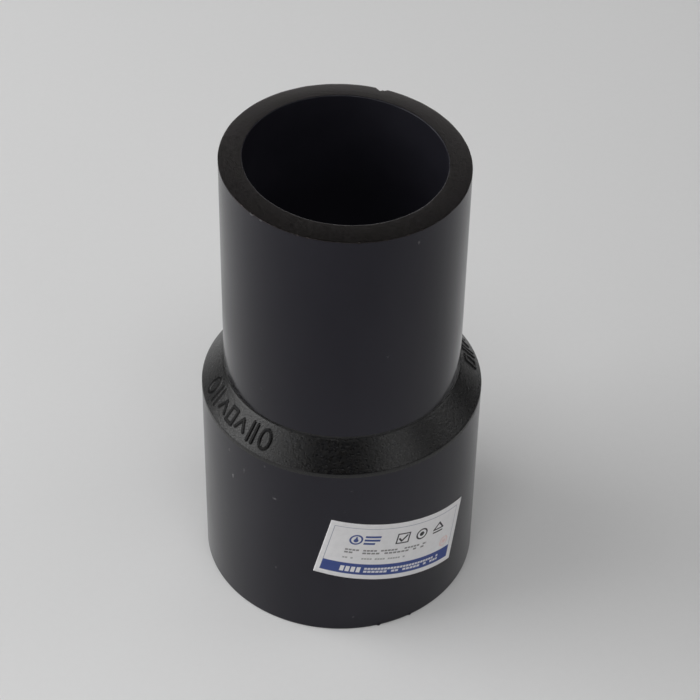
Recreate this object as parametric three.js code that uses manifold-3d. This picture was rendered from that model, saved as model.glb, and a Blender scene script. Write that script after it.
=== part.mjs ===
// Butt-fusion reducer: one thick-walled black polyethylene moulding that joins a 75 mm pipe to
// a 63 mm pipe, with a paper certificate label stuck round its large spigot.
// Millimetres, +Z up. The origin is the centre of the large end face, on the pipe axis.
// +X is to the right and +Y to the back of someone who faces the label side.

import * as THREE from 'three';
import { mergeVertices } from 'three/addons/utils/BufferGeometryUtils.js';
import Module from 'manifold-3d';

const wasm = await Module();
wasm.setup();

// Outside of the moulding
const LARGE_RADIUS = 75 / 2;
const SMALL_RADIUS = 63 / 2;
const LARGE_SPIGOT = 59.7; // height of the large spigot, up to the lower edge of the shoulder
const SHOULDER = 7.0; // height of the conical shoulder
const OVERALL = 132.0; // length on the axis
const FOOT_CHAMFER = 0.4;

// The cut that finishes the small end is a little out of square
const CUT_SLOPE_X = -Math.tan(THREE.MathUtils.degToRad(2.1)); // the right side is the low one
const CUT_SLOPE_Y = Math.tan(THREE.MathUtils.degToRad(1.4)); // the back side is the high one

// Inside of the moulding, left by a core that leans towards the back
const LARGE_WALL = 6.8;
const SMALL_WALL = 5.9;
const BORE_CONE_START = 54.0;
const BORE_CONE_END = 66.0;
const CORE_SHIFT = 0.6; // how far the bore is off the axis at the small end

// Raised marks on the shoulder: plain shapes drawn with square strokes
const MARK_HEIGHT = 5.2; // along the slope
const MARK_WIDTH = 3.0; // round the shoulder
const MARK_STROKE = 0.6;
const MARK_PROUD = 0.4;
const MARK_SUNK = 0.5;
const FRONT_ROW = { first: 194, pitch: 6.95 }; // degrees round the axis from +X
const REAR_ROW = { first: 5, pitch: 6.95 };

// Label, measured on the spigot's surface
const LABEL_WIDTH = 43.0;
const LABEL_HEIGHT = 20.5;
const LABEL_THICKNESS = 0.15;
const LABEL_GAP = 0.12; // adhesive layer
const LABEL_ANGLE = -64.8; // middle of the label, degrees round the axis from +X
const LABEL_CENTRE_Z = 28.1;
const LABEL_TURN = -13.4; // the label is stuck on askew, degrees

const ROUND_SEGMENTS = 96;
const MUCH = 100; // more than any size of the part, for the solids that cut it

const SLOPE_LENGTH = Math.hypot(LARGE_RADIUS - SMALL_RADIUS, SHOULDER);
const SHOULDER_RADIUS = (LARGE_RADIUS + SMALL_RADIUS) / 2;
const SHOULDER_Z = LARGE_SPIGOT + SHOULDER / 2;

// A three.js geometry as a manifold solid
function solid(geometry) {
  const bare = geometry.clone();
  bare.deleteAttribute('normal');
  bare.deleteAttribute('uv');
  const merged = mergeVertices(bare, 1e-4);
  const corners = merged.index.array;
  const triVerts = [];
  for (let i = 0; i < corners.length; i += 3) {
    const [a, b, c] = corners.slice(i, i + 3);
    if (a !== b && b !== c && c !== a) triVerts.push(a, b, c);
  }
  return new wasm.Manifold(new wasm.Mesh({
    numProp: 3,
    vertProperties: new Float32Array(merged.attributes.position.array),
    triVerts: new Uint32Array(triVerts),
  }));
}

// A manifold solid as a three.js geometry
function geometryOf(body) {
  const mesh = body.getMesh();
  const geometry = new THREE.BufferGeometry();
  geometry.setAttribute('position', new THREE.BufferAttribute(mesh.vertProperties, 3));
  geometry.setIndex(new THREE.BufferAttribute(mesh.triVerts, 1));
  geometry.computeVertexNormals();
  return geometry;
}

// A solid of revolution about Z; the profile is [radius, height] pairs, from axis to axis
function turned(profile) {
  const points = profile.map(([radius, height]) => new THREE.Vector2(radius, height));
  return new THREE.LatheGeometry(points, ROUND_SEGMENTS).rotateX(Math.PI / 2);
}

// Outside of the moulding, with its small end still too long
function outerShape() {
  return solid(turned([
    [0, 0],
    [LARGE_RADIUS - FOOT_CHAMFER, 0],
    [LARGE_RADIUS, FOOT_CHAMFER],
    [LARGE_RADIUS, LARGE_SPIGOT],
    [SMALL_RADIUS, LARGE_SPIGOT + SHOULDER],
    [SMALL_RADIUS, OVERALL + MUCH],
    [0, OVERALL + MUCH],
  ]));
}

// The bore: two cylinders and the cone between them, leaning about the middle of the large end
function bore() {
  const shape = turned([
    [0, -MUCH],
    [LARGE_RADIUS - LARGE_WALL, -MUCH],
    [LARGE_RADIUS - LARGE_WALL, BORE_CONE_START],
    [SMALL_RADIUS - SMALL_WALL, BORE_CONE_END],
    [SMALL_RADIUS - SMALL_WALL, OVERALL + MUCH],
    [0, OVERALL + MUCH],
  ]);
  return solid(shape.rotateX(-Math.atan(CORE_SHIFT / OVERALL)));
}

// Everything below the cut across the small end
function belowCut() {
  const normal = new THREE.Vector3(-CUT_SLOPE_X, -CUT_SLOPE_Y, 1).normalize();
  const block = new THREE.BoxGeometry(2 * MUCH, 2 * MUCH, 4 * MUCH).translate(0, 0, -2 * MUCH);
  block.applyQuaternion(new THREE.Quaternion().setFromUnitVectors(new THREE.Vector3(0, 0, 1), normal));
  return solid(block.translate(0, 0, OVERALL));
}

// The raised shapes as strokes [x1, y1, x2, y2], with x and y from -1 to 1 across and up the mark
function ringStrokes() {
  const sides = 8;
  const corner = (i) => {
    const angle = ((i + 0.5) * 2 * Math.PI) / sides;
    return [Math.cos(angle), Math.sin(angle)];
  };
  return Array.from({ length: sides }, (_, i) => [...corner(i), ...corner(i + 1)]);
}

const MARKS = {
  ring: ringStrokes(),
  bars: [[-0.5, -1, -0.5, 1], [0.5, -1, 0.5, 1]],
  chevron: [[-1, -0.6, 0, 0.6], [0, 0.6, 1, -0.6]],
  frame: [[-0.8, -0.8, 0.8, -0.8], [0.8, -0.8, 0.8, 0.8], [0.8, 0.8, -0.8, 0.8], [-0.8, 0.8, -0.8, -0.8]],
};
const FRONT_MARKS = ['ring', 'bars', 'chevron', 'frame', 'chevron', 'bars', 'ring'];
const REAR_MARKS = ['frame', 'bars', 'chevron'];

// One stroke as a bar in the mark's own plane: x round the shoulder, y up its slope, z outwards
function strokeBar([x1, y1, x2, y2]) {
  const from = new THREE.Vector2(x1 * MARK_WIDTH / 2, y1 * MARK_HEIGHT / 2);
  const to = new THREE.Vector2(x2 * MARK_WIDTH / 2, y2 * MARK_HEIGHT / 2);
  const along = to.clone().sub(from);
  const depth = MARK_PROUD + MARK_SUNK;
  const bar = new THREE.BoxGeometry(along.length() + MARK_STROKE, MARK_STROKE, depth);
  bar.rotateZ(along.angle());
  return bar.translate((from.x + to.x) / 2, (from.y + to.y) / 2, (MARK_PROUD - MARK_SUNK) / 2);
}

// A stroke moved from the mark's plane to its place on the shoulder
function onShoulder(geometry, degrees) {
  const angle = THREE.MathUtils.degToRad(degrees);
  const upSlope = new THREE.Vector3(
    Math.cos(angle) * (SMALL_RADIUS - LARGE_RADIUS) / SLOPE_LENGTH,
    Math.sin(angle) * (SMALL_RADIUS - LARGE_RADIUS) / SLOPE_LENGTH,
    SHOULDER / SLOPE_LENGTH,
  );
  const around = new THREE.Vector3(-Math.sin(angle), Math.cos(angle), 0);
  const outward = around.clone().cross(upSlope);
  const place = new THREE.Matrix4().makeBasis(around, upSlope, outward);
  place.setPosition(SHOULDER_RADIUS * Math.cos(angle), SHOULDER_RADIUS * Math.sin(angle), SHOULDER_Z);
  return geometry.applyMatrix4(place);
}

function withMarks(body, names, row) {
  let marked = body;
  names.forEach((name, i) => {
    for (const stroke of MARKS[name]) {
      marked = marked.add(solid(onShoulder(strokeBar(stroke), row.first + i * row.pitch)));
    }
  });
  return marked;
}

function reducerBody() {
  let body = outerShape();
  body = withMarks(body, FRONT_MARKS, FRONT_ROW);
  body = withMarks(body, REAR_MARKS, REAR_ROW);
  body = body.subtract(bore()).intersect(belowCut());
  const material = new THREE.MeshStandardMaterial({ color: 0x1b1b1e, roughness: 0.5, metalness: 0 });
  const mesh = new THREE.Mesh(geometryOf(body), material);
  mesh.name = 'reducer_body';
  return mesh;
}

// A thin block, turned askew in its own plane and then bent round the spigot
function certificateLabel() {
  const sheet = new THREE.BoxGeometry(LABEL_WIDTH, LABEL_HEIGHT, LABEL_THICKNESS, 24, 10, 1);
  sheet.rotateZ(THREE.MathUtils.degToRad(LABEL_TURN));
  const points = sheet.attributes.position;
  const innerRadius = LARGE_RADIUS + LABEL_GAP;
  for (let i = 0; i < points.count; i += 1) {
    const angle = THREE.MathUtils.degToRad(LABEL_ANGLE) + points.getX(i) / LARGE_RADIUS;
    const radius = innerRadius + LABEL_THICKNESS / 2 + points.getZ(i);
    const height = LABEL_CENTRE_Z + points.getY(i);
    points.setXYZ(i, radius * Math.cos(angle), radius * Math.sin(angle), height);
  }
  sheet.computeVertexNormals();
  const material = new THREE.MeshStandardMaterial({ color: 0xdcdcda, roughness: 0.6, metalness: 0 });
  const mesh = new THREE.Mesh(sheet, material);
  mesh.name = 'certificate_label';
  return mesh;
}

const reducer = new THREE.Group();
reducer.add(reducerBody(), certificateLabel());

export default reducer;
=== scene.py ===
"""Looks of a butt-fusion pipe reducer, 75 mm to 63 mm, in black polyethylene with a paper label.

Metres, +Z up, origin at the centre of the large end face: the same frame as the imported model.
Angles are degrees round the pipe axis from +X, and -90 faces the camera.
"""

import math

import bpy
import numpy as np
from mathutils import Matrix, Vector


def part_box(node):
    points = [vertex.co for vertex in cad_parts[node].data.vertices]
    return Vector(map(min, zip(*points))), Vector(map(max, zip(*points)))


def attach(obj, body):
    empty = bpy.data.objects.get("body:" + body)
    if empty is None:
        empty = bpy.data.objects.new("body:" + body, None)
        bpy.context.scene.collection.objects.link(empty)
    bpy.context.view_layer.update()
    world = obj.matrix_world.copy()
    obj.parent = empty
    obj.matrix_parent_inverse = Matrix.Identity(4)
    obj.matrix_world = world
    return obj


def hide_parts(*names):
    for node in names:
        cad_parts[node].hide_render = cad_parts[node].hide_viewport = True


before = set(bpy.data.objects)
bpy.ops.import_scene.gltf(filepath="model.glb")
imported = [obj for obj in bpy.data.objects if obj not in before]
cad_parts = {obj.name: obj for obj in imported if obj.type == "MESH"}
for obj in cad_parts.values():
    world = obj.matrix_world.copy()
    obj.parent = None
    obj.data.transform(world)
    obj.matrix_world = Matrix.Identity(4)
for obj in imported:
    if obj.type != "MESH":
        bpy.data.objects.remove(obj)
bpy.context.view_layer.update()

MM = 0.001

# ---------------------------------------------------------------- driving dimensions

LARGE_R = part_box("reducer_body")[1].x
SMALL_R = LARGE_R - 6.0 * MM
LARGE_SPIGOT = 59.7 * MM
SHOULDER = 7.0 * MM
OVERALL = 132.0 * MM
LARGE_BORE_R = LARGE_R - 6.8 * MM
SMALL_BORE_R = SMALL_R - 5.9 * MM
BORE_CONE_START = 54.0 * MM
BORE_CONE_END = 66.0 * MM
CORE_SHIFT = 0.48 * MM
CUT_SLOPE_X = -math.tan(math.radians(2.1))
CUT_SLOPE_Y = math.tan(math.radians(1.4))
SLOPE_LENGTH = math.hypot(LARGE_R - SMALL_R, SHOULDER)

# Edges as the moulding and the saw leave them
FOOT_ROUND = 0.35 * MM
SHOULDER_ROUND = 0.06 * MM
NECK_ROUND = 0.14 * MM
RIM_BREAK = 0.09 * MM
BORE_BREAK = 0.28 * MM
# The scraped end face stands a little high at the bore and falls towards its outer edge
FACE_LIFT = 0.12 * MM
RIM_CROWN = 0.22 * MM
RIM_CROWN_START = 26.3 * MM
# Small chips in the outer edge of the small end: degrees round the axis, depth in mm
RIM_CHIPS = [
    (-142, 0.14),
    (-134, 0.12),
    (-111, 0.18),
    (-106, 0.16),
    (-83.5, 0.24),
    (-71, 0.20),
    (-61, 0.20),
    (-53.5, 0.18),
]
RIM_CHIP_HALF_WIDTH = 1.0  # degrees
# Moulding tags left on the foot: degrees round the axis, half width in degrees, height in mm
FOOT_TAGS = [(-72.5, 1.1, 0.50), (-58.1, 0.9, 0.40)]
# Unevenness of the moulded walls, and height of the shoulder's spark-eroded grain
LARGE_RIPPLE = 0.018 * MM
SMALL_RIPPLE = 0.016 * MM
GRAIN_HEIGHT = 0.010 * MM
GRAIN_LENGTH = 0.55 * MM  # shortest wave of the grain up the slope
GRAIN_AROUND = 430  # most waves of the grain round the shoulder

# Raised marks on the shoulder: plain shapes in a row, degrees round the axis
MARK_HEIGHT = 5.2 * MM
MARK_WIDTH = 3.0 * MM
MARK_STROKE = 0.82 * MM
MARK_PROUD = 0.30 * MM
MARK_EDGE = 0.26 * MM
FRONT_ROW = {"first": -166.0, "pitch": 6.95}
REAR_ROW = {"first": 5.0, "pitch": 6.95}
FRONT_MARKS = ("ring", "bars", "chevron", "frame", "chevron", "bars", "ring")
REAR_MARKS = ("frame", "bars", "chevron")

# Label, measured on the spigot's surface
LABEL_WIDTH = 43.0 * MM
LABEL_HEIGHT = 20.5 * MM
LABEL_THICKNESS = 0.09 * MM
LABEL_GAP = 0.02 * MM
LABEL_ANGLE = -64.8
LABEL_CENTRE_Z = 28.1 * MM
LABEL_TURN = -13.4

# Camera: it looks at a point on the pipe axis, then turns a little about its own axes
CAMERA_TARGET = Vector((0.0, 0.0, 0.070))
CAMERA_DISTANCE = 0.58653
CAMERA_ELEVATION = 41.743
CAMERA_YAW = 0.202
CAMERA_PITCH = 0.068
CAMERA_ROLL = -0.988
CAMERA_LENS_MM = 113.67
CAMERA_SENSOR_MM = 36.0


# ---------------------------------------------------------------- body mesh

def smooth_step(t):
    t = np.clip(t, 0.0, 1.0)
    return t * t * (3 - 2 * t)


def bump(angle, centre, half_width):
    """1 at the centre angle, falling to 0 at half_width degrees on either side."""
    away = np.abs((angle - centre + 180) % 360 - 180)
    return smooth_step(1 - away / half_width)


def window(angle, start, end, soft):
    """1 between two angles, with soft ends."""
    middle, half = (start + end) / 2, (end - start) / 2
    away = np.abs((angle - middle + 180) % 360 - 180)
    return smooth_step((half - away) / soft + 0.5)


def column_angles():
    """Angles of the mesh columns in degrees, closer together under the raised marks."""
    coarse, fine = 0.4, 0.17
    stops = [(-180, -171, coarse), (-171, -119, fine), (-119, 0, coarse), (0, 24, fine), (24, 180, coarse)]
    parts = [np.linspace(a, b, round((b - a) / step), endpoint=False) for a, b, step in stops]
    return np.concatenate(parts)


def wobble(angle, height, scale, seed):
    """Smooth, repeatable unevenness between about -1 and 1, periodic round the axis."""
    random = np.random.default_rng(seed)
    total = np.zeros(np.broadcast(angle, height).shape)
    turn = np.radians(angle)
    for _ in range(14):
        around = random.integers(1, max(2, int(scale)))
        along = random.uniform(-1, 1) * scale / 0.037
        total = total + np.sin(around * turn + along * height + random.uniform(0, 2 * math.pi))
    return total / 4.0


def rim_trim(angle):
    """Width of the fine break on the outer edge of the small end."""
    width = RIM_BREAK * (1.0 + 0.35 * wobble(angle, 0.0, 40, 3))
    return np.maximum(width, 0.04 * MM)


def rim_nicks(angle):
    """Small chips in the outer edge of the small end."""
    depth = np.zeros_like(angle)
    for centre, deep in RIM_CHIPS:
        depth = depth + deep * MM * bump(angle, centre, RIM_CHIP_HALF_WIDTH)
    return depth


def rim_crown(r):
    """Fall of the end face below its flat plane at radius r, growing towards the outer edge."""
    t = np.clip((r - RIM_CROWN_START) / (SMALL_R - RIM_CROWN_START), 0, 1)
    return RIM_CROWN * t**1.8


def rim_notch(angle):
    """Depth of the bite that the saw broke out of the outer edge at the back."""
    return 0.60 * MM * window(angle, 71.0, 75.6, 1.5) + 0.45 * MM * window(angle, 73.0, 74.4, 0.5)


def arc(centre_r, centre_z, radius, start, end, count):
    """Points of a circular arc in the profile plane, angles in degrees from the +r direction."""
    return [
        (centre_r + radius * math.cos(math.radians(a)), centre_z + radius * math.sin(math.radians(a)))
        for a in np.linspace(start, end, count)
    ]


def fixed_outer_profile():
    """Outer profile from the foot's rounded edge to the neck, the same at every angle, as (r, z)."""
    points = [(LARGE_R - FOOT_ROUND - 0.5 * MM, 0.0)]
    points += arc(LARGE_R - FOOT_ROUND, FOOT_ROUND, FOOT_ROUND, -90, 0, 7)
    heights = (0.6, 1, 1.6, 2.5, 4, 6.5, 10, 14, 19, 25, 31, 37, 43, 48, 52, 55, 57, 58.4)
    return points + [(LARGE_R, z * MM) for z in heights]


def shoulder_profile():
    """Lower edge, slope and upper corner of the shoulder as (r, z), finely divided."""
    slope_turn = math.degrees(math.atan2(LARGE_R - SMALL_R, SHOULDER))
    lower_cut = SHOULDER_ROUND * math.tan(math.radians(slope_turn / 2))
    upper_cut = NECK_ROUND * math.tan(math.radians(slope_turn / 2))
    points = arc(LARGE_R - SHOULDER_ROUND, LARGE_SPIGOT - lower_cut, SHOULDER_ROUND, 0, slope_turn, 5)
    count = round((SLOPE_LENGTH - lower_cut - upper_cut) / (0.105 * MM))
    for s in np.linspace(lower_cut, SLOPE_LENGTH - upper_cut, count)[1:-1]:
        t = s / SLOPE_LENGTH
        points.append((LARGE_R + (SMALL_R - LARGE_R) * t, LARGE_SPIGOT + SHOULDER * t))
    corner_z = LARGE_SPIGOT + SHOULDER + upper_cut
    return points + arc(SMALL_R + NECK_ROUND, corner_z, NECK_ROUND, 180 + slope_turn, 180, 5)


MATERIAL_WALL, MATERIAL_SHOULDER, MATERIAL_CUT, MATERIAL_BORE = range(4)


def segment_distance(u, v, x1, y1, x2, y2):
    along_x, along_y = x2 - x1, y2 - y1
    t = ((u - x1) * along_x + (v - y1) * along_y) / (along_x**2 + along_y**2)
    t = np.clip(t, 0, 1)
    return np.hypot(u - x1 - t * along_x, v - y1 - t * along_y)


def mark_distance(name, u, v):
    """Distance from (u, v) to the middle line of a mark's strokes; the mark is centred on 0, 0."""
    x, y = MARK_WIDTH / 2, MARK_HEIGHT / 2
    if name == "ring":
        stretched = np.hypot(u, v * x / y)
        slope = np.hypot(u, v * (x / y) ** 2) / np.maximum(stretched, 1e-9)
        return np.abs(stretched - x) / np.maximum(slope, 1e-3)
    strokes = {
        "bars": [(-x / 2, -y, -x / 2, y), (x / 2, -y, x / 2, y)],
        "chevron": [(-x, -0.6 * y, 0, 0.6 * y), (0, 0.6 * y, x, -0.6 * y)],
        "frame": [
            (-0.8 * x, -0.8 * y, 0.8 * x, -0.8 * y),
            (0.8 * x, -0.8 * y, 0.8 * x, 0.8 * y),
            (0.8 * x, 0.8 * y, -0.8 * x, 0.8 * y),
            (-0.8 * x, 0.8 * y, -0.8 * x, -0.8 * y),
        ],
    }[name]
    return np.minimum.reduce([segment_distance(u, v, *stroke) for stroke in strokes])


def mark_height(angle, slope_place):
    """Height of the raised marks over the shoulder, from 0 to 1. slope_place runs up the slope."""
    raised = np.zeros(np.broadcast(angle, slope_place).shape)
    middle_r = (LARGE_R + SMALL_R) / 2
    v = slope_place - SLOPE_LENGTH / 2
    for row, names in ((FRONT_ROW, FRONT_MARKS), (REAR_ROW, REAR_MARKS)):
        for i, name in enumerate(names):
            away = (angle - row["first"] - i * row["pitch"] + 180) % 360 - 180
            u = np.radians(away) * middle_r
            distance = mark_distance(name, u, v)
            raised = np.maximum(raised, smooth_step((MARK_STROKE / 2 + MARK_EDGE / 2 - distance) / MARK_EDGE))
    return raised


def grain(angle, slope_place):
    """Spark-eroded texture of the shoulder, about -1 to 1, with grains a few tenths of a millimetre wide."""
    random = np.random.default_rng(11)
    turn = np.radians(angle)
    total = np.zeros(np.broadcast(angle, slope_place).shape)
    for _ in range(60):
        around = int(random.uniform(-1, 1) * GRAIN_AROUND)
        along = random.uniform(-1, 1) * 2 * math.pi / GRAIN_LENGTH
        total = total + np.sin(around * turn + along * slope_place + random.uniform(0, 2 * math.pi))
    return total / 8.0


def build_body():
    """The whole moulding as one closed skin: rows go up the outside, over the rim and down the bore.

    A row is (r, z, share of the core's lean, material, raised); r, z and raised hold one value a column.
    """
    angle = column_angles()
    turn = np.radians(angle)
    cos, sin = np.cos(turn), np.sin(turn)
    rows = []

    def add(r, z, material, core=0.0, raised=0.0):
        flat = np.zeros_like(angle)
        rows.append((flat + r, flat + z, core, material, flat + raised))

    # foot ring, outer foot edge and large spigot
    foot_tags = sum(height * MM * bump(angle, centre, half) for centre, half, height in FOOT_TAGS)
    for r in np.linspace(LARGE_BORE_R + BORE_BREAK, LARGE_R - FOOT_ROUND - 0.5 * MM, 6)[:-1]:
        add(r, 0.0, MATERIAL_CUT)
    for r, z in fixed_outer_profile():
        ripple = LARGE_RIPPLE * wobble(angle, z, 5, 5) * smooth_step(z / (3 * MM))
        tag = foot_tags * max(0.0, 1 - z / (0.7 * MM)) if r > LARGE_R - FOOT_ROUND else 0.0
        add(r + np.minimum(ripple, 0) + tag, z, MATERIAL_WALL)

    # shoulder with its grain and raised marks, pushed out along the slope's normal; its two corners
    # count as partly raised, because they are as smooth as the marks
    normal_r, normal_z = SHOULDER / SLOPE_LENGTH, (LARGE_R - SMALL_R) / SLOPE_LENGTH
    for r, z in shoulder_profile():
        place = (z - LARGE_SPIGOT) / SHOULDER * SLOPE_LENGTH
        inside = smooth_step((place - 0.05 * MM) / (0.5 * MM))
        inside = inside * smooth_step((SLOPE_LENGTH - place) / (0.5 * MM))
        marks = mark_height(angle, place)
        rough = grain(angle, place) * (1 - marks)
        out = inside * (GRAIN_HEIGHT * rough + MARK_PROUD * marks)
        corner = 0.35 * smooth_step(1 - place / (0.3 * MM))
        corner = corner + 0.45 * smooth_step((place - SLOPE_LENGTH) / (0.5 * MM) + 1)
        add(r + out * normal_r, z + out * normal_z, MATERIAL_SHOULDER, raised=np.maximum(marks, corner))

    # small spigot up to the trimmed edge of the cut
    neck_z = LARGE_SPIGOT + SHOULDER
    wall_top = OVERALL + (CUT_SLOPE_X * cos + CUT_SLOPE_Y * sin) * SMALL_R
    trim, nicks, notch = rim_trim(angle), rim_nicks(angle), rim_notch(angle)
    edge_z = wall_top + FACE_LIFT - RIM_CROWN - 0.9 * trim - 1.0 * nicks - 1.4 * notch
    for t in (0.012, 0.03, 0.06, 0.11, 0.18, 0.27, 0.37, 0.48, 0.6, 0.72, 0.83, 0.91, 0.96, 0.985):
        z = neck_z + t * (edge_z - 1.5 * MM - neck_z)
        ripple = SMALL_RIPPLE * wobble(angle, z, 5, 8)
        add(SMALL_R + np.minimum(ripple, 0), z, MATERIAL_WALL)
    for below in (1.5, 0.9, 0.45, 0.15, 0.0):
        add(SMALL_R, edge_z - below * MM, MATERIAL_WALL)

    # bevel and flat of the cut end: a point's height follows the sloping cut
    def on_cut(r, core):
        y_shift = core * CORE_SHIFT
        flat = OVERALL + CUT_SLOPE_X * r * cos + CUT_SLOPE_Y * (r * sin + y_shift)
        return flat + FACE_LIFT - rim_crown(r)

    face_r = SMALL_R - 0.85 * trim - 0.8 * nicks - notch
    edge_top = on_cut(face_r, 0.0)
    for t in (0.25, 0.5, 0.75):
        add(SMALL_R + t**1.3 * (face_r - SMALL_R), edge_z + t * (edge_top - edge_z), MATERIAL_CUT)
    add(face_r, edge_top - 0.02 * MM, MATERIAL_CUT)
    facing_right = 0.75 + 0.25 * np.cos(turn - math.radians(40))
    inner_r = SMALL_BORE_R + BORE_BREAK * facing_right * (1 + 0.25 * wobble(angle, 0.0, 30, 4))
    for t in (0.03, 0.1, 0.25, 0.45, 0.65, 0.85, 0.95, 1.0):
        r = face_r + t * (inner_r - face_r)
        add(r, on_cut(r, t), MATERIAL_CUT, core=t)
    inner_drop = on_cut(inner_r, 1.0)
    for turned_by in (25, 50, 75):
        a = math.radians(turned_by)
        depth = (inner_r - SMALL_BORE_R) * (1 - math.cos(a))
        add(inner_r - (inner_r - SMALL_BORE_R) * math.sin(a), inner_drop - depth, MATERIAL_BORE, core=1.0)

    # bore, down through its cone to the foot
    top_z = inner_drop - (inner_r - SMALL_BORE_R)
    for t in (0.0, 0.02, 0.06, 0.13, 0.25, 0.4, 0.55, 0.7, 0.85, 0.95, 1.0):
        add(SMALL_BORE_R, top_z + t * (BORE_CONE_END - top_z), MATERIAL_BORE, core=1.0)
    for t in (0.15, 0.35, 0.5, 0.65, 0.85, 1.0):
        r = SMALL_BORE_R + smooth_step(np.array(t)) * (LARGE_BORE_R - SMALL_BORE_R)
        add(r, BORE_CONE_END + t * (BORE_CONE_START - BORE_CONE_END), MATERIAL_BORE, core=1.0)
    for t in (0.15, 0.35, 0.55, 0.75, 0.9, 0.97):
        add(LARGE_BORE_R, BORE_CONE_START * (1 - t), MATERIAL_BORE, core=1.0)
    add(LARGE_BORE_R, BORE_BREAK, MATERIAL_BORE)
    add(LARGE_BORE_R + 0.3 * BORE_BREAK, 0.3 * BORE_BREAK, MATERIAL_CUT)

    points = []
    for r, z, core, _, _ in rows:
        lean = core * CORE_SHIFT * z / OVERALL
        points.append(np.stack([r * cos, r * sin + lean, z], axis=1))
    thing = skin("moulded_reducer", np.array(points), [row[3] for row in rows])
    raised = thing.data.attributes.new("raised", "FLOAT", "POINT")
    raised.data.foreach_set("value", np.concatenate([row[4] for row in rows]).astype(np.float32))
    return thing


def skin(name, grid, row_materials):
    """A closed mesh from a grid of points that wraps round both ways."""
    n_rows, n_columns = grid.shape[:2]
    index = np.arange(n_rows * n_columns).reshape(n_rows, n_columns)
    next_row, next_column = np.roll(index, -1, axis=0), np.roll(index, -1, axis=1)
    corner = np.roll(next_row, -1, axis=1)
    faces = np.stack([index, next_column, corner, next_row], axis=2).reshape(-1, 4)
    materials = np.repeat([max(a, b) if {a, b} != {MATERIAL_CUT, MATERIAL_BORE} else MATERIAL_BORE
                           for a, b in zip(row_materials, row_materials[1:] + row_materials[:1])], n_columns)
    mesh = bpy.data.meshes.new(name)
    mesh.from_pydata(grid.reshape(-1, 3).tolist(), [], faces.tolist())
    mesh.polygons.foreach_set("material_index", materials.astype(np.int32))
    mesh.polygons.foreach_set("use_smooth", np.ones(len(faces), bool))
    mesh.update()
    thing = bpy.data.objects.new(name, mesh)
    bpy.context.scene.collection.objects.link(thing)
    return thing


# ---------------------------------------------------------------- label mesh

def label_lift(u, v):
    """How far the label stands off the wall: flat, with its top right corner and one edge let go a little."""
    corner = np.hypot(u - LABEL_WIDTH / 2, v - LABEL_HEIGHT / 2)
    other = np.hypot(u + LABEL_WIDTH / 2, v + LABEL_HEIGHT / 2)
    lift = 0.10 * MM * smooth_step(1 - corner / (5 * MM)) + 0.06 * MM * smooth_step(1 - other / (4 * MM))
    waves = np.sin(u / (3.1 * MM) + 1.3) * np.sin(v / (2.3 * MM)) + np.sin(u / (5.7 * MM) - v / (4.1 * MM))
    return lift + 0.006 * MM * (2 + waves)


def build_label():
    """A thin closed sheet with slightly rounded corners, bent round the large spigot."""
    n_u, n_v = 108, 52
    u, v = np.meshgrid(np.linspace(-0.5, 0.5, n_u) * LABEL_WIDTH, np.linspace(-0.5, 0.5, n_v) * LABEL_HEIGHT)
    turn = math.radians(LABEL_TURN)
    around = u * math.cos(turn) - v * math.sin(turn)
    height = LABEL_CENTRE_Z + u * math.sin(turn) + v * math.cos(turn)
    angle = math.radians(LABEL_ANGLE) + around / LARGE_R
    lift = label_lift(u, v)

    def layer(offset):
        radius = LARGE_R + LABEL_GAP + lift + offset
        return np.stack([radius * np.cos(angle), radius * np.sin(angle), height], axis=2).reshape(-1, 3)

    points = np.concatenate([layer(LABEL_THICKNESS), layer(0.0)])
    index = np.arange(n_u * n_v).reshape(n_v, n_u)
    front = np.stack([index[:-1, :-1], index[:-1, 1:], index[1:, 1:], index[1:, :-1]], axis=2).reshape(-1, 4)
    back = front[:, ::-1] + n_u * n_v
    edge = np.concatenate([index[0, :-1], index[:-1, -1], index[-1, :0:-1], index[:0:-1, 0]])
    after = np.roll(edge, -1)
    side = np.stack([edge, edge + n_u * n_v, after + n_u * n_v, after], axis=1)
    faces = np.concatenate([front, back, side])
    mesh = bpy.data.meshes.new("printed_label")
    mesh.from_pydata(points.tolist(), [], faces.tolist())
    smooth = np.zeros(len(faces), bool)
    smooth[: 2 * len(front)] = True
    mesh.polygons.foreach_set("use_smooth", smooth)
    layout = mesh.uv_layers.new(name="print")
    loops = np.zeros(len(mesh.loops), np.int32)
    mesh.loops.foreach_get("vertex_index", loops)
    flat = np.stack([u.ravel(), v.ravel()], axis=1) / MM
    layout.data.foreach_set("uv", np.concatenate([flat, flat])[loops].astype(np.float32).ravel())
    mesh.update()
    thing = bpy.data.objects.new("printed_label", mesh)
    bpy.context.scene.collection.objects.link(thing)
    return thing


# ---------------------------------------------------------------- node helpers

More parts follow.
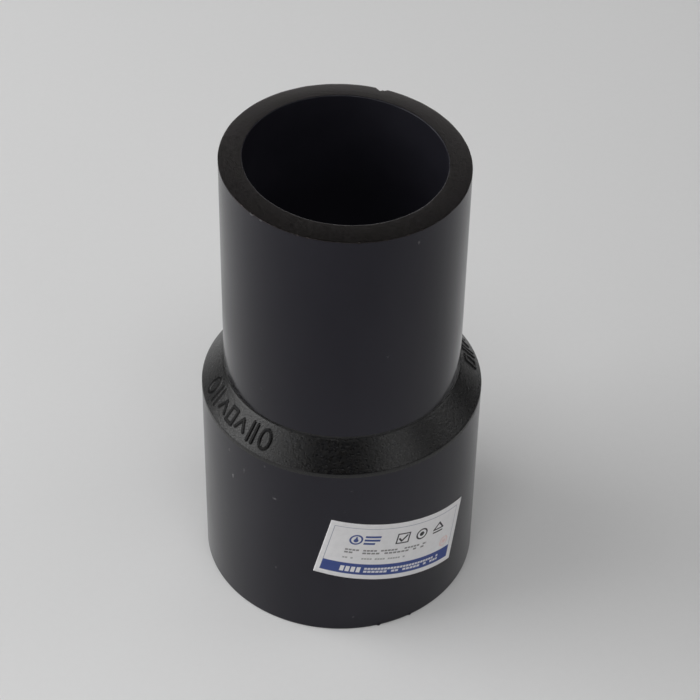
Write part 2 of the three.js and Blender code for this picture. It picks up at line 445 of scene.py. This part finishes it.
class Nodes:
    """Short calls for building a material's node tree."""

    def __init__(self, name):
        self.material = bpy.data.materials.new(name)
        self.material.use_nodes = True
        self.tree = self.material.node_tree
        self.tree.nodes.clear()
        self.shader = self.tree.nodes.new("ShaderNodeBsdfPrincipled")
        output = self.tree.nodes.new("ShaderNodeOutputMaterial")
        self.tree.links.new(self.shader.outputs[0], output.inputs["Surface"])

    def put(self, value, socket):
        if isinstance(value, bpy.types.NodeSocket):
            self.tree.links.new(value, socket)
        else:
            socket.default_value = value

    def math(self, operation, a, b=0.0, c=0.0):
        node = self.tree.nodes.new("ShaderNodeMath")
        node.operation = operation
        for value, socket in zip((a, b, c), node.inputs):
            self.put(value, socket)
        return node.outputs[0]

    def ramp(self, value, low, high, to_low=0.0, to_high=1.0):
        node = self.tree.nodes.new("ShaderNodeMapRange")
        node.interpolation_type = "SMOOTHSTEP"
        names = ("Value", "From Min", "From Max", "To Min", "To Max")
        for name, setting in zip(names, (value, low, high, to_low, to_high)):
            self.put(setting, node.inputs[name])
        return node.outputs["Result"]

    def mix(self, share, a, b):
        node = self.tree.nodes.new("ShaderNodeMix")
        node.data_type = "RGBA"
        self.put(share, node.inputs["Factor"])
        self.put(a, node.inputs[6])
        self.put(b, node.inputs[7])
        return node.outputs[2]

    def object_place(self):
        return self.tree.nodes.new("ShaderNodeTexCoord").outputs["Object"]

    def split(self, vector):
        node = self.tree.nodes.new("ShaderNodeSeparateXYZ")
        self.put(vector, node.inputs[0])
        return node.outputs

    def noise(self, vector, scale, detail=3.0, roughness=0.5):
        node = self.tree.nodes.new("ShaderNodeTexNoise")
        self.put(vector, node.inputs["Vector"])
        node.inputs["Scale"].default_value = scale
        node.inputs["Detail"].default_value = detail
        node.inputs["Roughness"].default_value = roughness
        return node.outputs["Fac"]

    def stretched(self, vector, scale):
        node = self.tree.nodes.new("ShaderNodeMapping")
        node.vector_type = "POINT"
        self.put(vector, node.inputs["Vector"])
        node.inputs["Scale"].default_value = scale
        return node.outputs[0]

    def bump(self, height, strength, distance):
        node = self.tree.nodes.new("ShaderNodeBump")
        node.inputs["Strength"].default_value = strength
        node.inputs["Distance"].default_value = distance
        self.put(height, node.inputs["Height"])
        return node.outputs[0]

    def spot(self, place, radius, angle, height, width, length):
        """1 at a place on the outside, fading to 0 at half the given width and length."""
        turn = math.radians(angle)
        offset = self.tree.nodes.new("ShaderNodeVectorMath")
        offset.operation = "SUBTRACT"
        self.put(place, offset.inputs[0])
        offset.inputs[1].default_value = (radius * math.cos(turn), radius * math.sin(turn), height)
        across = 2 / width
        scaled = self.stretched(offset.outputs[0], (across, across, 2 / length))
        distance = self.tree.nodes.new("ShaderNodeVectorMath")
        distance.operation = "LENGTH"
        self.put(scaled, distance.inputs[0])
        return self.ramp(distance.outputs["Value"], 0.2, 1.0, 1.0, 0.0)

    def set(self, **values):
        for name, value in values.items():
            self.put(value, self.shader.inputs[name.replace("_", " ")])


def grey(value, warmth=0.0):
    return (value * (1 + warmth), value, value * (1 - warmth), 1.0)


# ---------------------------------------------------------------- body materials

# Handling scuffs on the large spigot, and (the last two) painted glints where burrs on the small end's rim
# catch the light: radius in mm, degrees round the axis, height, width and length in mm, strength
SCUFFS_AND_PAINTED_GLINTS = [
    (37.5, -117.0, 46.5, 1.9, 1.1, 0.32),
    (37.5, -132.0, 51.0, 0.9, 2.6, 0.30),
    (37.5, -139.0, 46.0, 1.0, 3.0, 0.38),
    (37.5, -141.0, 54.5, 0.9, 1.6, 0.32),
    (31.4, -135.0, 131.95, 1.6, 0.9, 0.5),
    (31.4, -129.5, 131.75, 1.3, 0.8, 0.35),
]


def wall_material():
    """Satin moulded wall with faint cloudiness, a few dust specks, small scuffs and two painted glints at the
    rim's burrs.
    """
    n = Nodes("moulded_wall")
    place = n.object_place()
    cloud = n.noise(place, 45.0, 4.0)
    fine = n.noise(place, 900.0, 2.0)
    specks = n.ramp(n.noise(place, 520.0, 1.0), 0.79, 0.86)
    streaks = n.noise(n.stretched(place, (1.0, 1.0, 0.12)), 260.0, 3.0)
    scuffs = n.math("MULTIPLY", n.ramp(streaks, 0.68, 0.80), n.ramp(cloud, 0.5, 0.62))
    marks = n.math("MULTIPLY", n.math("MAXIMUM", specks, scuffs), 0.2)
    rubbed = n.ramp(n.noise(place, 1100.0, 3.0), 0.38, 0.62, 0.25, 1.0)
    # pale spots: scuffs on the large spigot, and painted glints of light on the burrs at the small end's rim
    for radius, angle, height, width, length, strength in SCUFFS_AND_PAINTED_GLINTS:
        spot = n.spot(place, radius * MM, angle, height * MM, width * MM, length * MM)
        marks = n.math("MAXIMUM", marks, n.math("MULTIPLY", n.math("MULTIPLY", spot, rubbed), strength))
    drift = n.noise(n.stretched(place, (1.0, 1.0, 0.45)), 28.0, 5.0, 0.6)
    colour = n.mix(n.ramp(drift, 0.3, 0.7), (0.0010, 0.0010, 0.0013, 1.0), (0.0072, 0.0070, 0.0084, 1.0))
    n.set(Base_Color=n.mix(marks, colour, grey(0.32)))
    height = n.split(place)[2]
    neck = n.math("MULTIPLY", n.ramp(height, 0.0597, 0.0660), n.ramp(height, 0.072, 0.090, 1.0, 0.0))
    polish = n.math("MULTIPLY", neck, 0.10)
    n.set(Roughness=n.math("SUBTRACT", n.ramp(cloud, 0.25, 0.75, 0.20, 0.25), polish), IOR=1.6)
    n.set(Specular_Tint=(0.418, 0.402, 0.52, 1.0))
    relief = n.math("ADD", n.math("MULTIPLY", fine, 0.35), n.math("MULTIPLY", marks, 0.4))
    n.set(Normal=n.bump(relief, 0.35, 0.00006))
    return n.material


def shoulder_material():
    """Spark-textured shoulder: matte, with glinting grains; the raised marks are smoother."""
    n = Nodes("textured_shoulder")
    place = n.object_place()
    grains = n.noise(place, 1900.0, 3.0, 0.6)
    coarse = n.noise(place, 850.0, 2.0, 0.5)
    colour = n.mix(n.ramp(coarse, 0.35, 0.65), (0.0012, 0.0012, 0.0020, 1.0), (0.0032, 0.0028, 0.0026, 1.0))
    n.set(Base_Color=colour, Roughness=n.ramp(grains, 0.35, 0.65, 0.26, 0.34), IOR=1.5)
    raised = n.tree.nodes.new("ShaderNodeAttribute")
    raised.attribute_name = "raised"
    ground = n.math("SUBTRACT", 1.0, raised.outputs["Fac"])
    relief = n.math("MULTIPLY", n.math("ADD", grains, n.math("MULTIPLY", coarse, 0.8)), ground)
    n.set(Normal=n.bump(relief, 0.55, 0.00012))
    n.set(Specular_IOR_Level=n.ramp(ground, 0.0, 1.0, 0.14, 0.5))
    return n.material


def cut_material():
    """Sawn and scraped end face: matte, brownish, with faint marks that run round the pipe."""
    n = Nodes("cut_end")
    place = n.object_place()
    x, y, _ = n.split(place)
    radius = n.math("SQRT", n.math("ADD", n.math("MULTIPLY", x, x), n.math("MULTIPLY", y, y)))
    cloud = n.noise(place, 90.0, 4.0)
    ring_place = n.tree.nodes.new("ShaderNodeCombineXYZ")
    n.put(radius, ring_place.inputs[0])
    rings = n.noise(ring_place.outputs[0], 2600.0, 3.0)
    fine = n.noise(place, 1400.0, 3.0)
    colour = n.mix(n.ramp(cloud, 0.3, 0.7), (0.0020, 0.0018, 0.0016, 1.0), (0.0032, 0.0029, 0.0026, 1.0))
    n.set(Base_Color=colour, Roughness=n.ramp(fine, 0.3, 0.7, 0.32, 0.42), IOR=1.5)
    tone = n.ramp(n.noise(place, 130.0, 3.0), 0.35, 0.65)
    n.set(Specular_Tint=n.mix(tone, (1.0, 0.85, 0.89, 1.0), (1.0, 0.88, 0.85, 1.0)))
    relief = n.math("ADD", n.math("MULTIPLY", rings, 0.5), n.math("MULTIPLY", fine, 0.6))
    n.set(Normal=n.bump(relief, 0.4, 0.00008))
    return n.material


def bore_material():
    """Inside of the pipe: moulded, a little duller than the outside."""
    n = Nodes("moulded_bore")
    place = n.object_place()
    cloud = n.noise(place, 60.0, 4.0)
    lines = n.noise(n.stretched(place, (1.0, 1.0, 0.05)), 500.0, 2.0)
    n.set(Base_Color=n.mix(cloud, (0.011, 0.0107, 0.0150, 1.0), (0.020, 0.0195, 0.0265, 1.0)))
    n.set(Roughness=n.ramp(cloud, 0.3, 0.7, 0.32, 0.42), IOR=1.5, Specular_IOR_Level=0.25)
    n.set(Normal=n.bump(lines, 0.25, 0.00005))
    return n.material


# ---------------------------------------------------------------- label material

class Print(Nodes):
    """Node helpers for flat shapes printed on the label. Places are millimetres from its middle."""

    def __init__(self, name):
        super().__init__(name)
        layout = self.tree.nodes.new("ShaderNodeUVMap")
        layout.uv_map = "print"
        self.u, self.v, _ = self.split(layout.outputs[0])

    def inside(self, distance, softness=0.05):
        """1 where a signed distance is negative, with a soft ink edge."""
        return self.ramp(distance, -softness, softness, 1.0, 0.0)

    def box(self, left, low, right, high):
        across = self.math("ABSOLUTE", self.math("SUBTRACT", self.u, (left + right) / 2))
        up = self.math("ABSOLUTE", self.math("SUBTRACT", self.v, (low + high) / 2))
        past_side = self.math("SUBTRACT", across, (right - left) / 2)
        past_top = self.math("SUBTRACT", up, (high - low) / 2)
        return self.math("MAXIMUM", past_side, past_top)

    def circle(self, u, v, radius):
        across = self.math("SUBTRACT", self.u, u)
        up = self.math("SUBTRACT", self.v, v)
        square = self.math("ADD", self.math("MULTIPLY", across, across), self.math("MULTIPLY", up, up))
        return self.math("SUBTRACT", self.math("SQRT", square), radius)

    def outline(self, distance, line_width):
        return self.math("SUBTRACT", self.math("ABSOLUTE", distance), line_width / 2)

    def stroke(self, u1, v1, u2, v2, line_width):
        along_u, along_v = u2 - u1, v2 - v1
        square = along_u**2 + along_v**2
        across = self.math("SUBTRACT", self.u, u1)
        up = self.math("SUBTRACT", self.v, v1)
        t = self.math("MULTIPLY_ADD", across, along_u / square, self.math("MULTIPLY", up, along_v / square))
        t = self.math("MINIMUM", self.math("MAXIMUM", t, 0.0), 1.0)
        off_u = self.math("SUBTRACT", across, self.math("MULTIPLY", t, along_u))
        off_v = self.math("SUBTRACT", up, self.math("MULTIPLY", t, along_v))
        square = self.math("ADD", self.math("MULTIPLY", off_u, off_u), self.math("MULTIPLY", off_v, off_v))
        return self.math("SUBTRACT", self.math("SQRT", square), line_width / 2)

    def union(self, *distances):
        joined = distances[0]
        for distance in distances[1:]:
            joined = self.math("MINIMUM", joined, distance)
        return joined

    def dashes(self, left, right, low, high, cell, keep, row):
        """A row of short plain dashes; a share of them, chosen at random, is left out."""
        line = self.inside(self.box(left, low, right, high))
        place = self.math("DIVIDE", self.math("SUBTRACT", self.u, left), cell)
        cells = self.tree.nodes.new("ShaderNodeCombineXYZ")
        self.put(self.math("FLOOR", place), cells.inputs[0])
        self.put(row, cells.inputs[1])
        random = self.tree.nodes.new("ShaderNodeTexWhiteNoise")
        random.noise_dimensions = "2D"
        self.put(cells.outputs[0], random.inputs["Vector"])
        kept = self.math("LESS_THAN", random.outputs["Value"], keep)
        dash = self.ramp(self.math("FRACT", place), 0.78, 0.86, 1.0, 0.0)
        return self.math("MULTIPLY", line, self.math("MULTIPLY", kept, dash))


FRAME_LEFT, FRAME_RIGHT, FRAME_LOW, FRAME_HIGH = -20.1, 19.5, -8.6, 8.6
BAND_TOP = -4.6
HEADING_V = 4.4
INK_BLUE = (0.050, 0.085, 0.290, 1.0)
INK_DARK = (0.045, 0.042, 0.045, 1.0)
INK_GREY = (0.28, 0.27, 0.27, 1.0)
INK_RED = (0.86, 0.60, 0.57, 1.0)
PAPER = (0.90, 0.89, 0.90, 1.0)
PAPER_DULL = (0.86, 0.85, 0.86, 1.0)


def label_material():
    """Coated paper with a frame line, plain icons, filler lines, a pale stamp and a blue band."""
    n = Print("printed_paper")
    fibre = n.noise(n.object_place(), 700.0, 4.0)
    colour = n.mix(n.ramp(fibre, 0.3, 0.7), PAPER_DULL, PAPER)

    # thin frame, pale round stamp at the right
    frame_line = n.outline(n.box(FRAME_LEFT, FRAME_LOW, FRAME_RIGHT, FRAME_HIGH), 0.18)
    colour = n.mix(n.math("MULTIPLY", n.inside(frame_line), 0.75), colour, (0.22, 0.24, 0.34, 1.0))
    stamp = n.inside(n.union(n.outline(n.circle(16.4, -2.0, 1.45), 0.5), n.circle(16.4, -2.0, 0.8)), 0.3)
    worn = n.ramp(n.noise(n.object_place(), 1900.0, 2.0), 0.35, 0.6, 0.35, 0.9)
    colour = n.mix(n.math("MULTIPLY", stamp, worn), colour, INK_RED)

    # blue emblem: a drop in a ring, and three bars beside it
    drop = n.union(n.circle(-13.3, 4.1, 0.66), n.stroke(-13.3, 4.2, -13.3, 5.2, 0.55))
    emblem = n.union(n.outline(n.circle(-13.3, HEADING_V, 1.6), 0.5), drop)
    bars = n.union(n.box(-11.0, 5.3, -6.6, 6.0), n.box(-11.0, 4.05, -6.6, 4.75), n.box(-11.0, 2.8, -7.8, 3.5))
    colour = n.mix(n.inside(n.union(emblem, bars)), colour, INK_BLUE)

    # dark heading: a tick in a square, a ring round a disc, and a triangle with a bar under it
    tick = n.union(n.stroke(-0.9, 4.4, -0.1, 3.5, 0.55), n.stroke(-0.1, 3.5, 1.3, 5.3, 0.55))
    square = n.outline(n.box(-1.6, 2.8, 2.0, 6.1), 0.42)
    rings = n.union(n.outline(n.circle(6.3, HEADING_V, 1.65), 0.48), n.circle(6.3, HEADING_V, 0.75))
    roof = n.union(n.stroke(10.7, 3.9, 12.5, 6.0, 0.52), n.stroke(12.5, 6.0, 14.3, 3.9, 0.52))
    base = n.union(n.stroke(10.7, 3.9, 14.3, 3.9, 0.45), n.box(10.6, 2.7, 14.4, 3.2))
    colour = n.mix(n.inside(n.union(tick, square, rings, roof, base)), colour, INK_DARK)

    # grey filler: two rows of dashes over one finer row, with gaps between the groups
    upper = n.math(
        "MAXIMUM",
        n.dashes(-15.4, 8.8, 0.25, 0.85, 1.0, 0.66, 1.0),
        n.dashes(-15.4, 8.8, -0.75, -0.15, 1.25, 0.66, 2.0),
    )
    lower = n.math("MULTIPLY", n.dashes(-15.4, 4.2, -2.8, -2.25, 0.75, 0.72, 3.0), 0.7)
    colour = n.mix(n.math("MAXIMUM", upper, lower), colour, INK_GREY)

    # blue band with four plain blocks and two rows of white dashes
    colour = n.mix(n.inside(n.box(FRAME_LEFT, FRAME_LOW, FRAME_RIGHT, BAND_TOP)), colour, INK_BLUE)
    blocks = n.union(*(n.box(-15.0 + 1.5 * i, -7.8, -13.9 + 1.5 * i, -5.8) for i in range(4)))
    rows = n.math(
        "MAXIMUM",
        n.dashes(-8.4, 15.2, -6.65, -5.9, 0.95, 0.92, 4.0),
        n.dashes(-8.4, 15.2, -7.75, -7.0, 1.15, 0.92, 5.0),
    )
    colour = n.mix(n.math("MAXIMUM", n.inside(blocks), n.math("MULTIPLY", rows, 0.85)), colour, PAPER)

    n.set(Base_Color=colour, Roughness=n.ramp(fibre, 0.3, 0.7, 0.55, 0.65), IOR=1.4)
    n.set(Normal=n.bump(fibre, 0.2, 0.00004))
    return n.material


def floor_material():
    """Pale sheet that fades out well away from the object, into the studio's pale surround."""
    n = Nodes("floor_sheet")
    place = n.object_place()
    grain = n.noise(place, 500.0, 3.0)
    x, y, _ = n.split(place)
    away = n.math("SQRT", n.math("ADD", n.math("MULTIPLY", x, x), n.math("MULTIPLY", y, y)))
    colour = n.mix(grain, (0.750, 0.750, 0.750, 1.0), (0.768, 0.768, 0.768, 1.0))
    n.set(Base_Color=colour, Roughness=0.9, Alpha=n.ramp(away, *FLOOR_FADE, 1.0, 0.0))
    return n.material


# ---------------------------------------------------------------- studio

LIGHTS = [
    # name, azimuth and elevation as seen from the object, distance, width, height, watts
    ("left_low", 180, 12, 1.1, 0.9, 0.3, 1.0),
    ("left_mid", 180, 25, 1.1, 0.8, 0.35, 1.8),
    ("left_wide", 180, 38, 1.2, 1.4, 1.0, 2.6),
    ("left_high", 180, 45, 1.1, 0.8, 0.4, 3.2),
    ("front_left", 225, 20, 1.1, 0.6, 0.35, 1.2),
    ("back_left", 135, 42, 1.1, 0.6, 0.4, 0.5),
    ("back_horizon", 90, 8, 1.4, 1.6, 0.3, 3.4),
    ("back", 90, 22, 1.2, 0.9, 0.35, 1.4),
    ("right_low", 0, 12, 1.1, 0.9, 0.3, 0.2),
    ("right_wide", 0, 45, 1.2, 1.2, 0.9, 1.25),
    ("right_mid", 8, 28, 1.1, 0.5, 0.4, 0.75),
    ("front_right", 315, 30, 1.1, 0.5, 0.4, 0.8),
    ("front_high", 270, 66, 1.1, 0.6, 0.35, 3.3),
]
LIGHT_AIM = Vector((0.0, 0.0, 0.06))
SURROUND_LEVEL = 0.56  # the pale surround that the camera sees past the floor; it lights nothing
FLOOR_HALF_SIZE = 6.0
FLOOR_FADE = (0.45, 1.15)  # distances from the axis where the floor starts to fade and is gone


def build_floor():
    mesh = bpy.data.meshes.new("floor")
    corners = [(x * FLOOR_HALF_SIZE, y * FLOOR_HALF_SIZE, 0) for x, y in ((-1, -1), (1, -1), (1, 1), (-1, 1))]
    mesh.from_pydata(corners, [], [(0, 1, 2, 3)])
    floor = bpy.data.objects.new("floor", mesh)
    mesh.materials.append(floor_material())
    bpy.context.scene.collection.objects.link(floor)


def build_lights():
    for name, azimuth, elevation, distance, width, height, watts in LIGHTS:
        data = bpy.data.lights.new(name, "AREA")
        data.shape = "RECTANGLE"
        data.size, data.size_y = width, height
        data.energy = watts
        lamp = bpy.data.objects.new(name, data)
        turn, lift = math.radians(azimuth), math.radians(elevation)
        away = Vector((math.cos(turn) * math.cos(lift), math.sin(turn) * math.cos(lift), math.sin(lift)))
        lamp.location = LIGHT_AIM + away * distance
        lamp.rotation_euler = away.to_track_quat("Z", "Y").to_euler()
        bpy.context.scene.collection.objects.link(lamp)
    world = bpy.data.worlds.new("studio")
    world.use_nodes = True
    world.node_tree.nodes["Background"].inputs["Color"].default_value = (1, 1, 1, 1)
    world.node_tree.nodes["Background"].inputs["Strength"].default_value = SURROUND_LEVEL
    lit = world.cycles_visibility
    lit.diffuse = lit.glossy = lit.transmission = lit.scatter = False
    bpy.context.scene.world = world


def build_camera():
    elevation = math.radians(CAMERA_ELEVATION)
    back = Vector((0.0, -math.cos(elevation), math.sin(elevation)))
    right = Vector((1.0, 0.0, 0.0))
    level = Matrix((right, right.cross(-back), back))
    turn = (
        Matrix.Rotation(math.radians(CAMERA_ROLL), 3, "Z")
        @ Matrix.Rotation(math.radians(CAMERA_PITCH), 3, "X")
        @ Matrix.Rotation(math.radians(CAMERA_YAW), 3, "Y")
    )
    data = bpy.data.cameras.new("camera")
    data.sensor_width = CAMERA_SENSOR_MM
    data.lens = CAMERA_LENS_MM
    data.clip_start, data.clip_end = 0.01, 20.0
    camera = bpy.data.objects.new("camera", data)
    camera.matrix_world = Matrix.Translation(CAMERA_TARGET + CAMERA_DISTANCE * back) @ (
        (turn @ level).transposed().to_4x4()
    )
    bpy.context.scene.collection.objects.link(camera)
    bpy.context.scene.camera = camera


bpy.context.scene.view_settings.view_transform = "Standard"

build_camera()
build_floor()
build_lights()

body = build_body()
for material in (wall_material(), shoulder_material(), cut_material(), bore_material()):
    body.data.materials.append(material)
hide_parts("reducer_body")
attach(body, "root")

label = build_label()
label.data.materials.append(label_material())
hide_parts("certificate_label")
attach(label, "root")
